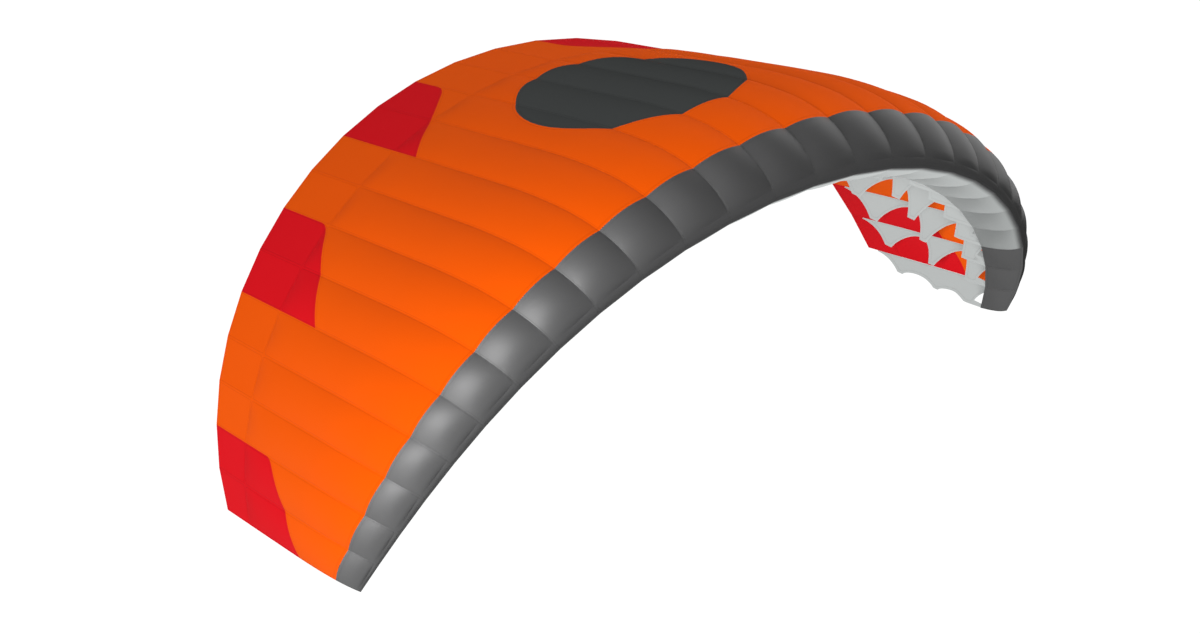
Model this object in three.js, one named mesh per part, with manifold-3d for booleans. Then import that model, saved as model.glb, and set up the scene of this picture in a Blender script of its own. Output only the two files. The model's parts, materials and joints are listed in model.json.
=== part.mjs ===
// A single-skin parawing in its flying shape: an arched canopy with a closed nose and scalloped ribs.
// Millimetres, +Z up, +X along the span, +Y from the nose to the trailing edge.
// The origin is the middle of the nose's rear hem, where the front bridle lines pull.

import * as THREE from "three";
import { mergeVertices } from "three/addons/utils/BufferGeometryUtils.js";
import Module from "manifold-3d";

const wasm = await Module();
wasm.setup();

// Driving dimensions

const flatSpan = 3530; // along the arch, tip to tip
const cellCount = 25;
const clothThickness = 2;
const seamGap = 0.3; // between pieces that are sewn together
const stepsPerCell = 4;

// Plan and arch as series in u, the share of the half span: 0 in the middle, -1 and 1 at the tips.
// Odd series hold the factors of u, u^3, u^5 ... and even series those of 1, u^2, u^4 ...
const archSlope = [64.8, 17.3, -16.9, 16.2]; // degrees, odd
const ribLean = [62.0, 16.3, -38.8, 16.2]; // degrees, odd: ribs follow the pull of the lines
const noseLine = [0, 318, -19, 93]; // even
const tailLine = [1466, -399, 56, -88]; // even
const twist = [0, 2.57, -1.62]; // degrees, even: tail up
const profileDepth = [1, 0.11, -0.04, -0.245]; // even: thinner tips
const ribSpacing = [1.159, -0.195, 0.036]; // odd, of a share that runs evenly from rib to rib

// Profile from the trailing edge over the top, round the nose and back to the rear hem.
// chord and height are shares of the chord, billow a share of the cell's width.
const canopyRows = [
  { chord: 1.0, height: 0.0, billow: 0.0 },
  { chord: 0.803, height: 0.0345, billow: 0.0 },
  { chord: 0.72, height: 0.0495, billow: 0.05 },
  { chord: 0.6, height: 0.0695, billow: 0.08 },
  { chord: 0.46, height: 0.093, billow: 0.09 },
  { chord: 0.345, height: 0.1105, billow: 0.09 },
  { chord: 0.26, height: 0.1175, billow: 0.09 },
  { chord: 0.18, height: 0.1175, billow: 0.09 },
  { chord: 0.103, height: 0.104, billow: 0.09 },
];
const noseTopRows = [
  { chord: 0.0815, height: 0.0963, billow: 0.09 },
  { chord: 0.061, height: 0.086, billow: 0.085 },
  { chord: 0.042, height: 0.073, billow: 0.075 },
  { chord: 0.025, height: 0.057, billow: 0.055 },
  { chord: 0.0105, height: 0.0365, billow: 0.0 },
  { chord: 0.005, height: 0.015, billow: 0.0 },
];
const noseUnderRows = [
  { chord: 0.0145, height: 0.0085, billow: 0.005 },
  { chord: 0.034, height: -0.0035, billow: 0.02 },
  { chord: 0.078, height: -0.0225, billow: 0.045 },
  { chord: 0.1506, height: -0.0421, billow: 0.0 },
];
const profileRows = [...canopyRows, ...noseTopRows, ...noseUnderRows];
const seamRow = canopyRows.length - 1; // canopy to nose
const lipRow = seamRow + noseTopRows.length; // top of the nose to its underside
const hemRow = profileRows.length - 1;

// The free lower edge of a rib, in shares of the chord: flat feet of the line tabs, and arches between them.
const ribFeet = [
  { back: 0.739, front: 0.701, height: -0.065 },
  { back: 0.48, front: 0.448, height: -0.058 },
  { back: 0.268, front: 0.245, height: -0.05 },
];
// Each arch lies in front of the foot of its row. ease bends its front side: 0.5 is a parabola, 0 a straight line.
const ribArches = [
  { chord: 0.6, innerCrown: 0.0455, tipCrown: -0.0235, ease: 0.5 },
  { chord: 0.357, innerCrown: 0.0736, tipCrown: -0.0205, ease: 0.28 },
];
const ribTail = { chord: 0.935, depth: 0.004 };
const noseVent = { chord: 0.165, halfWidth: 0.05, sill: -0.015, height: 0.09 };
const backRound = 0.5; // Bezier handles of an arch's back side
const ribCurveSteps = 4;

// Colour panels, by rib number and chord share. front is where a panel's front edge crosses each rib.
const redPanels = [
  { name: "tip", outerRib: 0, innerRib: 2, outerFront: 0.357, middleFront: 0.499, innerFront: 0.64 },
  { name: "mid", outerRib: 5, innerRib: 7, outerFront: 0.63, middleFront: 0.717, innerFront: 0.812 },
  { name: "inner", outerRib: 9, innerRib: 11, outerFront: 0.722, middleFront: 0.806, innerFront: 0.9 },
];
const redCorner = { cells: 0.2, chord: 0.022 }; // rounding of the inner front corner
const middlePatch = { chord: 0.498, halfChord: 0.2355, halfCells: 2.0 };
const patchSides = 36;
const sideStep = 0.1; // chord share between the points of a panel's side
const darkTipCells = 3; // dark cells under each tip of the nose
const cutterReach = 70; // how far a cutter stands out of the cloth

const looks = {
  orange: { color: 0xf2620f, roughness: 0.6, metalness: 0 },
  red: { color: 0xd81e26, roughness: 0.6, metalness: 0 },
  darkGrey: { color: 0x575958, roughness: 0.5, metalness: 0 },
  lightGrey: { color: 0xbcc1c0, roughness: 0.65, metalness: 0 },
};

// The arch and its ribs

const degrees = Math.PI / 180;
const archSteps = 240;

function oddSeries(u, factors) {
  return factors.reduce((sum, factor, k) => sum + factor * u ** (2 * k + 1), 0);
}

function evenSeries(u, factors) {
  return factors.reduce((sum, factor, k) => sum + factor * u ** (2 * k), 0);
}

function spanShare(ribNumber) {
  return oddSeries((2 * ribNumber) / cellCount - 1, ribSpacing);
}

function archPoint(u) {
  const step = u / archSteps;
  const length = (step * flatSpan) / 2;
  const point = { x: 0, z: 0 };
  for (let k = 0; k < archSteps; k++) {
    const slope = oddSeries((k + 0.5) * step, archSlope) * degrees;
    point.x += Math.cos(slope) * length;
    point.z -= Math.sin(slope) * length;
  }
  return point;
}

// Where a rib stands: its nose point, its chord, and the directions back, out and square to its plane.
function ribStation(ribNumber) {
  const u = spanShare(ribNumber);
  const { x, z } = archPoint(u);
  const noseY = evenSeries(u, noseLine);
  const lean = oddSeries(u, ribLean) * degrees;
  const turn = evenSeries(u, twist) * degrees;
  const aft = new THREE.Vector3(0, 1, 0);
  const up = new THREE.Vector3(Math.sin(lean), 0, Math.cos(lean));
  return {
    nose: new THREE.Vector3(x, noseY, z),
    chord: evenSeries(u, tailLine) - noseY,
    depth: evenSeries(u, profileDepth),
    back: aft.clone().multiplyScalar(Math.cos(turn)).addScaledVector(up, Math.sin(turn)),
    out: up.clone().multiplyScalar(Math.cos(turn)).addScaledVector(aft, -Math.sin(turn)),
    square: new THREE.Vector3(Math.cos(lean), 0, -Math.sin(lean)),
  };
}

const stations = Array.from({ length: cellCount + 1 }, (_, rib) => ribStation(rib));

// A point of a rib's plane, from shares of its chord.
function inPlane({ chord, depth }, chordShare, heightShare) {
  return new THREE.Vector2(chordShare * chord, heightShare * chord * depth);
}

function inSpace(station, point) {
  return station.nose
    .clone()
    .addScaledVector(station.back, point.x)
    .addScaledVector(station.out, point.y);
}

function turned(station, direction) {
  return inSpace(station, direction).sub(station.nose);
}

// The profile's corners on a rib, each with its outward direction, in the rib's plane.
function ribProfile(station) {
  const points = profileRows.map((row) => inPlane(station, row.chord, row.height));
  return points.map((point, row) => {
    const before = points[Math.max(row - 1, 0)];
    const after = points[Math.min(row + 1, hemRow)];
    const outward = new THREE.Vector2(after.y - before.y, before.x - after.x).normalize();
    return { point, outward };
  });
}

const profiles = stations.map(ribProfile);

// The skin as a grid of points and outward directions: rows round the profile, columns along the span.
// Between two ribs the cloth billows outwards in a shallow arc.
function skinPoints() {
  return profileRows.map((profileRow, row) => {
    const onRibs = stations.map((station, rib) => inSpace(station, profiles[rib][row].point));
    const points = [];
    for (let cell = 0; cell < cellCount; cell++) {
      const across = onRibs[cell + 1].clone().sub(onRibs[cell]);
      const bulge = turned(stations[cell], profiles[cell][row].outward);
      bulge.add(turned(stations[cell + 1], profiles[cell + 1][row].outward));
      bulge.addScaledVector(across, -bulge.dot(across) / across.lengthSq()).normalize();
      for (let step = 0; step < stepsPerCell; step++) {
        const share = step / stepsPerCell;
        const rise = 4 * share * (1 - share) * profileRow.billow * across.length();
        const point = onRibs[cell].clone().addScaledVector(across, share);
        points.push(point.addScaledVector(bulge, rise));
      }
    }
    points.push(onRibs[cellCount]);
    return points;
  });
}

// Over a rib the cloth's direction is that of the cells on both sides taken together.
function skinOutwards(points) {
  const lastColumn = points[0].length - 1;
  return points.map((rowPoints, row) =>
    rowPoints.map((_, column) => {
      const reach = column % stepsPerCell === 0 ? stepsPerCell : 1;
      const right = rowPoints[Math.min(column + reach, lastColumn)];
      const left = rowPoints[Math.max(column - reach, 0)];
      const forward = points[Math.min(row + 1, hemRow)][column].clone();
      forward.sub(points[Math.max(row - 1, 0)][column]);
      return forward.cross(right.clone().sub(left)).normalize();
    }),
  );
}

const skin = skinPoints();
const skinOut = skinOutwards(skin);
const lastColumn = cellCount * stepsPerCell;

// A sheet of cloth over part of the skin, closed all round, half a seam's gap inside each edge.
function sheetGeometry(firstRow, lastRow, firstColumn, endColumn) {
  const rows = lastRow - firstRow + 1;
  const columns = endColumn - firstColumn + 1;
  const insetPoint = (row, column) => {
    const point = skin[row][column].clone();
    const pull = (toRow, toColumn) => {
      const way = skin[toRow][toColumn].clone().sub(skin[row][column]);
      point.addScaledVector(way.normalize(), seamGap / 2);
    };
    if (row === firstRow) pull(row + 1, column);
    if (row === lastRow) pull(row - 1, column);
    if (column === firstColumn) pull(row, column + 1);
    if (column === endColumn) pull(row, column - 1);
    return point;
  };
  const positions = [];
  for (const depth of [0, clothThickness]) {
    for (let row = firstRow; row <= lastRow; row++) {
      for (let column = firstColumn; column <= endColumn; column++) {
        const point = insetPoint(row, column).addScaledVector(skinOut[row][column], -depth);
        positions.push(point.x, point.y, point.z);
      }
    }
  }
  const outer = (row, column) => row * columns + column;
  const inner = (row, column) => rows * columns + outer(row, column);
  const index = [];
  const quad = (a, b, c, d) => index.push(a, b, c, a, c, d);
  const foot = rows - 1;
  const end = columns - 1;
  for (let r = 0; r < foot; r++) {
    for (let c = 0; c < end; c++) {
      quad(outer(r, c), outer(r + 1, c), outer(r + 1, c + 1), outer(r, c + 1));
      quad(inner(r, c), inner(r, c + 1), inner(r + 1, c + 1), inner(r + 1, c));
    }
    quad(outer(r, 0), inner(r, 0), inner(r + 1, 0), outer(r + 1, 0));
    quad(outer(r, end), outer(r + 1, end), inner(r + 1, end), inner(r, end));
  }
  for (let c = 0; c < end; c++) {
    quad(outer(0, c), outer(0, c + 1), inner(0, c + 1), inner(0, c));
    quad(outer(foot, c + 1), outer(foot, c), inner(foot, c), inner(foot, c + 1));
  }
  return indexedGeometry(positions, index);
}

function indexedGeometry(positions, index) {
  const geometry = new THREE.BufferGeometry();
  geometry.setAttribute("position", new THREE.Float32BufferAttribute(positions, 3));
  geometry.setIndex(index);
  return geometry;
}

// Colour panels are cut out of the canopy

function toSolid(geometry) {
  const merged = mergeVertices(geometry);
  return new wasm.Manifold(
    new wasm.Mesh({
      numProp: 3,
      vertProperties: new Float32Array(merged.getAttribute("position").array),
      triVerts: new Uint32Array(merged.index.array),
    }),
  );
}

function toGeometry(solid) {
  const { vertProperties, triVerts } = solid.getMesh();
  return indexedGeometry(Array.from(vertProperties), Array.from(triVerts));
}

function canopyHeight(chord) {
  const found = canopyRows.findIndex((row) => row.chord < chord);
  const front = canopyRows[Math.max(found, 1)];
  const rear = canopyRows[Math.max(found, 1) - 1];
  return THREE.MathUtils.mapLinear(chord, rear.chord, front.chord, rear.height, front.height);
}

function cellWidth(ribNumber) {
  return ((spanShare(ribNumber + 0.5) - spanShare(ribNumber - 0.5)) * flatSpan) / 2;
}

// A prism that stands through the canopy over an outline of rib numbers (x) and chord shares (y).
function panelCutter(outline) {
  const count = outline.length;
  const positions = [];
  for (const reach of [-cutterReach, cutterReach]) {
    for (const corner of outline) {
      const station = ribStation(corner.x);
      const foot = inSpace(station, inPlane(station, corner.y, canopyHeight(corner.y)));
      foot.addScaledVector(station.out, reach);
      positions.push(foot.x, foot.y, foot.z);
    }
  }
  const index = [];
  for (const [a, b, c] of THREE.ShapeUtils.triangulateShape(outline, [])) {
    index.push(a, c, b, count + a, count + b, count + c);
  }
  for (let k = 0; k < count; k++) {
    const next = (k + 1) % count;
    index.push(k, next, count + next, k, count + next, count + k);
  }
  return toSolid(indexedGeometry(positions, index));
}

// Outline of a red panel of the left half, grown by some millimetres. It runs past the trailing edge and the tip.
function redOutline(panel, grow) {
  const pastTail = 1.04;
  const pastTip = 0.4;
  const outer = panel.outerRib - (panel.outerRib === 0 ? pastTip : grow / cellWidth(panel.outerRib));
  const inner = panel.innerRib + grow / cellWidth(panel.innerRib);
  const middle = (panel.outerRib + panel.innerRib) / 2;
  const ahead = grow / ribStation(middle).chord;
  const frontAt = (rib) => {
    const from = rib < middle ? panel.outerFront : panel.innerFront;
    const share = Math.abs(rib - middle) / (middle - panel.outerRib);
    return THREE.MathUtils.lerp(panel.middleFront, from, share) - ahead;
  };
  const cornerBack = panel.innerFront - ahead + redCorner.chord;
  const shape = new THREE.Shape();
  shape.moveTo(outer, pastTail);
  for (let chord = 1 - sideStep; chord > frontAt(outer); chord -= sideStep) shape.lineTo(outer, chord);
  shape.lineTo(outer, frontAt(outer));
  shape.lineTo(middle, frontAt(middle));
  shape.lineTo(inner - redCorner.cells, frontAt(inner - redCorner.cells));
  shape.quadraticCurveTo(inner, frontAt(inner), inner, cornerBack);
  for (let chord = cornerBack + sideStep; chord < 1; chord += sideStep) shape.lineTo(inner, chord);
  shape.lineTo(inner, pastTail);
  return shape.getPoints(ribCurveSteps);
}

function patchOutline(grow) {
  const middle = cellCount / 2;
  const acrossCells = middlePatch.halfCells + grow / cellWidth(middle);
  const alongChord = middlePatch.halfChord + grow / stations[Math.floor(middle)].chord;
  const ellipse = new THREE.EllipseCurve(middle, middlePatch.chord, acrossCells, alongChord);
  return ellipse.getPoints(patchSides).slice(0, patchSides);
}

function mirrored(outline) {
  return outline.map((corner) => new THREE.Vector2(cellCount - corner.x, corner.y));
}

function anticlockwise(outline) {
  return THREE.ShapeUtils.area(outline) > 0 ? outline : outline.reverse();
}

// Pieces

const wing = new THREE.Group();

function addPiece(name, geometry, look) {
  const piece = new THREE.Mesh(geometry, new THREE.MeshStandardMaterial(look));
  piece.name = name;
  wing.add(piece);
  return piece;
}

function addCanopy() {
  const whole = toSolid(sheetGeometry(0, seamRow, 0, lastColumn));
  let canopy = whole;
  const cutPanel = (name, outlineOf, look) => {
    const inside = panelCutter(anticlockwise(outlineOf(-seamGap / 2)));
    const outside = panelCutter(anticlockwise(outlineOf(seamGap / 2)));
    addPiece(name, toGeometry(whole.intersect(inside)), look);
    canopy = canopy.subtract(outside);
  };
  for (const panel of redPanels) {
    cutPanel(`red_panel_${panel.name}_left`, (grow) => redOutline(panel, grow), looks.red);
    cutPanel(`red_panel_${panel.name}_right`, (grow) => mirrored(redOutline(panel, grow)), looks.red);
  }
  cutPanel("middle_patch", patchOutline, looks.darkGrey);
  addPiece("canopy_skin", toGeometry(canopy), looks.orange);
}

function addNose() {
  const leftDark = darkTipCells * stepsPerCell;
  const rightDark = lastColumn - leftDark;
  addPiece("nose_top", sheetGeometry(seamRow, lipRow, 0, lastColumn), looks.darkGrey);
  addPiece("nose_under_left", sheetGeometry(lipRow, hemRow, 0, leftDark), looks.darkGrey);
  addPiece("nose_under", sheetGeometry(lipRow, hemRow, leftDark, rightDark), looks.lightGrey);
  addPiece("nose_under_right", sheetGeometry(lipRow, hemRow, rightDark, lastColumn), looks.darkGrey);
}

// How far a rib's edge lies in from the skin's outer side: the cloth and the gap, more where they meet aslant.
function sewnIn(rib, row) {
  const outward = turned(stations[rib], profiles[rib][row].outward);
  const facing = outward.dot(skinOut[row][rib * stepsPerCell]);
  const slant = Math.sqrt(1 - facing ** 2);
  return (clothThickness + seamGap + slant * clothThickness) / facing;
}

// Outline of a rib in its own plane: inside the skin from the tail to the rear hem, then back along its free edge.
function ribShape(rib) {
  const station = stations[rib];
  const atTip = rib === 0 || rib === cellCount;
  const at = (chordShare, heightShare) => inPlane(station, chordShare, heightShare);
  const edge = profiles[rib].map(({ point, outward }, row) =>
    point.clone().addScaledVector(outward, -sewnIn(rib, row)),
  );
  const tailTop = at(ribTail.chord, canopyHeight(ribTail.chord));
  tailTop.y -= sewnIn(rib, 1);
  const tailFoot = tailTop.y - ribTail.depth * station.chord;
  const shape = new THREE.Shape();
  shape.moveTo(tailTop.x, tailTop.y);
  edge.slice(1).forEach((point) => shape.lineTo(point.x, point.y));
  const [rearFoot, , frontFoot] = ribFeet;
  const noseFoot = at(frontFoot.front, frontFoot.height);
  shape.lineTo(noseFoot.x, noseFoot.y);
  for (let k = ribArches.length - 1; k >= 0; k--) {
    const arch = ribArches[k];
    const start = at(ribFeet[k + 1].back, ribFeet[k + 1].height);
    const crown = at(arch.chord, atTip ? arch.tipCrown : arch.innerCrown);
    const end = at(ribFeet[k].front, ribFeet[k].height);
    const bend = crown.x - (crown.x - start.x) * arch.ease;
    const endBend = end.y + (crown.y - end.y) * backRound;
    shape.lineTo(start.x, start.y);
    shape.quadraticCurveTo(bend, crown.y, crown.x, crown.y);
    shape.bezierCurveTo(crown.x + (end.x - crown.x) * backRound, crown.y, end.x, endBend, end.x, end.y);
  }
  const rear = at(rearFoot.back, rearFoot.height);
  shape.lineTo(rear.x, rear.y);
  shape.quadraticCurveTo((rear.x + tailTop.x) / 2, tailFoot, tailTop.x, tailFoot);
  shape.holes.push(ventPath(at));
  return shape;
}

// The vent between the front foot and the nose: a flat sill and an arched head.
function ventPath(at) {
  const sill = at(noseVent.chord, noseVent.sill);
  const size = at(noseVent.halfWidth, noseVent.height);
  const path = new THREE.Path();
  path.absellipse(sill.x, sill.y, size.x, size.y, 0, Math.PI);
  path.closePath();
  return path;
}

function addRibs() {
  stations.forEach((station, rib) => {
    const geometry = new THREE.ExtrudeGeometry(ribShape(rib), {
      depth: clothThickness,
      bevelEnabled: false,
      curveSegments: ribCurveSteps,
    });
    geometry.translate(0, 0, -clothThickness / 2);
    const piece = addPiece(`rib_${String(rib).padStart(2, "0")}`, geometry, looks.lightGrey);
    const facing = new THREE.Matrix4().makeBasis(station.back, station.out, station.square);
    piece.setRotationFromMatrix(facing);
    piece.position.copy(station.nose);
    if (rib === 0) piece.position.addScaledVector(station.square, clothThickness / 2); // flush with the tip
    if (rib === cellCount) piece.position.addScaledVector(station.square, -clothThickness / 2);
  });
}

addCanopy();
addNose();
addRibs();

// The nose's rear hem in the middle cell becomes the origin.
const hemMiddle = skin[hemRow][lastColumn / 2];
wing.position.copy(hemMiddle).negate();

const parawing = new THREE.Group();
parawing.add(wing);

export default parawing;
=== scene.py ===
import json
import math
import bpy
import numpy as np
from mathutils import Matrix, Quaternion, Vector

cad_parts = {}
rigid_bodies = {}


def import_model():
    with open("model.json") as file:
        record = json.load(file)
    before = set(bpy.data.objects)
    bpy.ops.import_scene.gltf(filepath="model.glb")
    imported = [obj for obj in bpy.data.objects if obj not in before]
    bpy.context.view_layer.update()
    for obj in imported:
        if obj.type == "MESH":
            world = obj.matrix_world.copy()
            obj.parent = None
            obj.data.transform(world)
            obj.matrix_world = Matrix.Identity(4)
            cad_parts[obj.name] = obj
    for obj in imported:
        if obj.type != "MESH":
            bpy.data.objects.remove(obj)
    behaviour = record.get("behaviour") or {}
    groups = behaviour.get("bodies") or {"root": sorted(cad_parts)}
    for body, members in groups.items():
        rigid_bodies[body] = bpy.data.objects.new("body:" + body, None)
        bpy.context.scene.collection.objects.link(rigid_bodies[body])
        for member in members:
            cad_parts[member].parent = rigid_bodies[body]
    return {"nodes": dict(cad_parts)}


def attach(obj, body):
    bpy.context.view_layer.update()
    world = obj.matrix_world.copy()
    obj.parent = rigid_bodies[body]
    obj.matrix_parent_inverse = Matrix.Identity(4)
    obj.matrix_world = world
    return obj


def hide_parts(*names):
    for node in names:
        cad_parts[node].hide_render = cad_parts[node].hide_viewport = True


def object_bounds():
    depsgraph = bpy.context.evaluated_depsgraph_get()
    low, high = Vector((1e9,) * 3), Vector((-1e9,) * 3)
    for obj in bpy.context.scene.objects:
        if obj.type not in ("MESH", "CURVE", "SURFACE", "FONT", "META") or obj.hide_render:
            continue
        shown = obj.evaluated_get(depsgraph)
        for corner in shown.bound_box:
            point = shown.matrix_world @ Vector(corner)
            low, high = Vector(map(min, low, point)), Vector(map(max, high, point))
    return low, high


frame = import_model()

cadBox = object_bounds()
print("frame:", len(frame["nodes"]), "cloth pieces in the box", cadBox)


# Camera

cameraLook = {
    "place": (-6.9431, -7.4190, 4.7149),  # metres, ahead of the left tip and well above it
    "aim": (0.58246, 0.67763, -0.44896),  # the direction it looks in
    "rollDeg": -0.755,
    "lensMm": 114.9,
    "sensorMm": 36.0,
}


def addCamera():
    bpy.ops.object.select_all(action="DESELECT")
    bpy.ops.object.camera_add(location=cameraLook["place"])
    camera = bpy.context.object
    camera.name = "wingCamera"
    camera.data.lens = cameraLook["lensMm"]
    camera.data.sensor_width = cameraLook["sensorMm"]
    turn = Vector(cameraLook["aim"]).to_track_quat("-Z", "Y")
    roll = Quaternion((0, 0, 1), math.radians(cameraLook["rollDeg"]))
    camera.rotation_euler = (turn @ roll).to_euler()
    bpy.context.scene.camera = camera


addCamera()
print("camera placed")


# Floor, lamps and sky

floorLook = {
    "size": 60.0,
    "drop": 0.45,  # below the wing's lowest point
    "colour": (0.30, 0.30, 0.30),
    "glow": 0.88,  # keeps the floor near white, with a faint shadow
    "rough": 0.9,
}
softSuns = {  # degrees from +X and up, the width of the soft disc, how bright it is, and what it lights
    "ribKey": {"turn": 225, "rise": 15, "spread": 26, "bright": 0.80, "gloss": False,
               "lights": ("rib", "tipUnder", "floor")},
    "patchKey": {"turn": 225, "rise": 70, "spread": 60, "bright": 0.30, "gloss": False,
                 "lights": ("patch",)},
    "rightSide": {"turn": 8, "rise": 20, "spread": 40, "bright": 0.70, "gloss": False,
                  "lights": ("canopy",)},
    "noseKey": {"turn": 185, "rise": 3, "spread": 50, "bright": 1.90, "gloss": False,
                "lights": ("nose",)},
    "underKey": {"turn": 345, "rise": -47, "spread": 50, "bright": 1.30, "gloss": False,
                 "lights": ("under",)},
    "noseGleam": {"turn": 199, "rise": 29, "spread": 32, "bright": 0.46, "gloss": True,
                  "lights": ("canopy", "nose")},
    "rightGleam": {"turn": 18, "rise": 11, "spread": 55, "bright": 0.17, "gloss": True,
                   "lights": ("nose",)},
}
sunPlace = (0, 0, 5)  # out of the way: a sun's place doesn't change its light
nearKey = {  # a soft ball of light to the left and ahead, so that the tail is dimmer than the nose
    "place": (-5.7, -3.05, 2.05),
    "radius": 1.4,
    "watts": 1560,
    "lights": ("canopy",),
}
underGlow = {  # light that comes up off the floor
    "size": 14.0,
    "clear": 0.02,
    "bright": 0.52,
    "lights": ("canopy", "patch", "rib", "tipUnder"),
}
skyLook = {"light": 0.41, "seen": 1.0, "mirrored": 0.03}  # even light all round, dull in the cloth's gloss


def link(tree, value, socket):
    if isinstance(value, (int, float)):
        socket.default_value = value
    else:
        tree.links.new(value, socket)


def math1(tree, operation, *values):
    node = tree.nodes.new("ShaderNodeMath")
    node.operation = operation
    for value, socket in zip(values, node.inputs):
        link(tree, value, socket)
    return node.outputs[0]


def addFloor():
    bpy.ops.object.select_all(action="DESELECT")
    bpy.ops.mesh.primitive_plane_add(size=floorLook["size"], location=(0, 0, floorHeight))
    floor = bpy.context.object
    floor.name = "paleFloor"
    material = bpy.data.materials.new("paleFloorPaint")
    material.use_nodes = True
    paint = material.node_tree.nodes["Principled BSDF"]
    paint.inputs["Base Color"].default_value = (*floorLook["colour"], 1)
    paint.inputs["Roughness"].default_value = floorLook["rough"]
    paint.inputs["Specular IOR Level"].default_value = 0
    paint.inputs["Emission Color"].default_value = (1, 1, 1, 1)
    paint.inputs["Emission Strength"].default_value = floorLook["glow"]
    floor.data.materials.append(material)
    floor.visible_diffuse = False  # the wing is lit by the lamps alone
    floor.visible_glossy = False
    floor.visible_shadow = False
    return floor


def newReceivers(lamp):  # the lamp lights only what is put in this collection
    lamp.light_linking.receiver_collection = bpy.data.collections.new(lamp.name + "Lights")


def lightWith(piece, family):
    for name, look in {**softSuns, "underGlow": underGlow, "nearKey": nearKey}.items():
        if family in look["lights"]:
            bpy.data.objects[name].light_linking.receiver_collection.objects.link(piece)


def addSoftSun(name, sun):
    bpy.ops.object.select_all(action="DESELECT")
    bpy.ops.object.light_add(type="SUN", location=sunPlace)
    lamp = bpy.context.object
    lamp.name = name
    turn, rise = math.radians(sun["turn"]), math.radians(sun["rise"])
    toward = Vector((math.cos(turn) * math.cos(rise), math.sin(turn) * math.cos(rise), math.sin(rise)))
    lamp.rotation_euler = toward.to_track_quat("Z", "Y").to_euler()
    lamp.data.angle = math.radians(sun["spread"])
    lamp.data.energy = math.pi * sun["bright"]
    lamp.visible_glossy = sun["gloss"]  # a sun makes either gleam or shading
    lamp.visible_diffuse = not sun["gloss"]
    newReceivers(lamp)


def addNearKey():
    bpy.ops.object.select_all(action="DESELECT")
    bpy.ops.object.light_add(type="POINT", location=nearKey["place"])
    lamp = bpy.context.object
    lamp.name = "nearKey"
    lamp.data.shadow_soft_size = nearKey["radius"]
    lamp.data.energy = nearKey["watts"]
    lamp.visible_camera = False
    lamp.visible_glossy = False
    newReceivers(lamp)


def addUnderGlow():
    bpy.ops.object.select_all(action="DESELECT")
    bpy.ops.object.light_add(type="AREA", location=(0, 0, floorHeight + underGlow["clear"]))
    lamp = bpy.context.object
    lamp.name = "underGlow"
    lamp.rotation_euler = (math.pi, 0, 0)
    lamp.data.size = underGlow["size"]
    lamp.data.energy = math.pi * underGlow["bright"] * underGlow["size"] ** 2
    lamp.visible_camera = False
    lamp.visible_glossy = False
    newReceivers(lamp)


def addSky():
    sky = bpy.data.worlds.new("studioSky")
    bpy.context.scene.world = sky
    sky.use_nodes = True
    tree = sky.node_tree
    ray = tree.nodes.new("ShaderNodeLightPath")
    bright = skyLook["light"]
    for kind, level in (("Is Camera Ray", skyLook["seen"]), ("Is Glossy Ray", skyLook["mirrored"])):
        bright = math1(tree, "MULTIPLY_ADD", ray.outputs[kind], level - skyLook["light"], bright)
    tree.links.new(bright, tree.nodes["Background"].inputs["Strength"])
    tree.nodes["Background"].inputs["Color"].default_value = (1, 1, 1, 1)


floorHeight = cadBox[0][2] - floorLook["drop"]
bpy.context.scene.view_settings.view_transform = "Standard"
paleFloor = addFloor()
for sunName, sunLook in softSuns.items():
    addSoftSun(sunName, sunLook)
addNearKey()
addUnderGlow()
lightWith(paleFloor, "floor")
addSky()
print("stage lit by", len(softSuns), "soft suns")


# The wing's form. Series run in the share of the half span: 0 in the middle, -1 and 1 at the tips.
# Odd series hold the factors of u, u^3, u^5 ..., even series those of 1, u^2, u^4 ...

wing = {
    "flatSpan": 3.53,
    "cells": 25,
    "archSlopeDeg": (64.8, 17.3, -16.9, 16.2),
    "ribLeanDeg": (62.0, 16.3, -38.8, 16.2),
    "noseLine": (0.0, 0.318, -0.019, 0.093),
    "tailLine": (1.466, -0.399, 0.056, -0.088),
    "twistDeg": (0.0, 2.57, -1.62),
    "depth": (1.0, 0.11, -0.04, -0.245),
    "ribSpacing": (1.159, -0.195, 0.036),
    "archSteps": 240,
    "tableSteps": 2000,
}
tiny = 1e-9  # room for rounding where two places are the same
# From the tail over the top and round the nose to the rear hem: chord, height, billow.
# Chord and height are shares of the chord, billow is a share of the cell's width.
profileRows = np.array([
    (1.0, 0.0, 0.0),
    (0.803, 0.0345, 0.0),
    (0.785, 0.0378, 0.03),
    (0.72, 0.0495, 0.06),
    (0.6, 0.0695, 0.08),
    (0.46, 0.093, 0.09),
    (0.345, 0.1105, 0.09),
    (0.26, 0.1175, 0.09),
    (0.18, 0.1175, 0.09),
    (0.103, 0.104, 0.09),
    (0.0815, 0.0963, 0.09),
    (0.061, 0.086, 0.085),
    (0.042, 0.073, 0.075),
    (0.025, 0.057, 0.056),
    (0.0155, 0.0445, 0.042),
    (0.0105, 0.0365, 0.022),
    (0.0062, 0.0265, 0.008),
    (0.005, 0.015, 0.0),
    (0.0145, 0.007, 0.005),
    (0.034, -0.006, 0.02),
    (0.078, -0.0235, 0.045),
    (0.1506, -0.0421, 0.0),
])
tailBandRow, seamRow, creaseRow, lipRow = 1, 9, 15, 17
hemRow = len(profileRows) - 1


def oddSeries(u, factors):
    return sum(factor * u ** (2 * k + 1) for k, factor in enumerate(factors))


def evenSeries(u, factors):
    return sum(factor * u ** (2 * k) for k, factor in enumerate(factors))


def spanShare(rib):
    return oddSeries(2 * rib / wing["cells"] - 1, wing["ribSpacing"])


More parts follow.
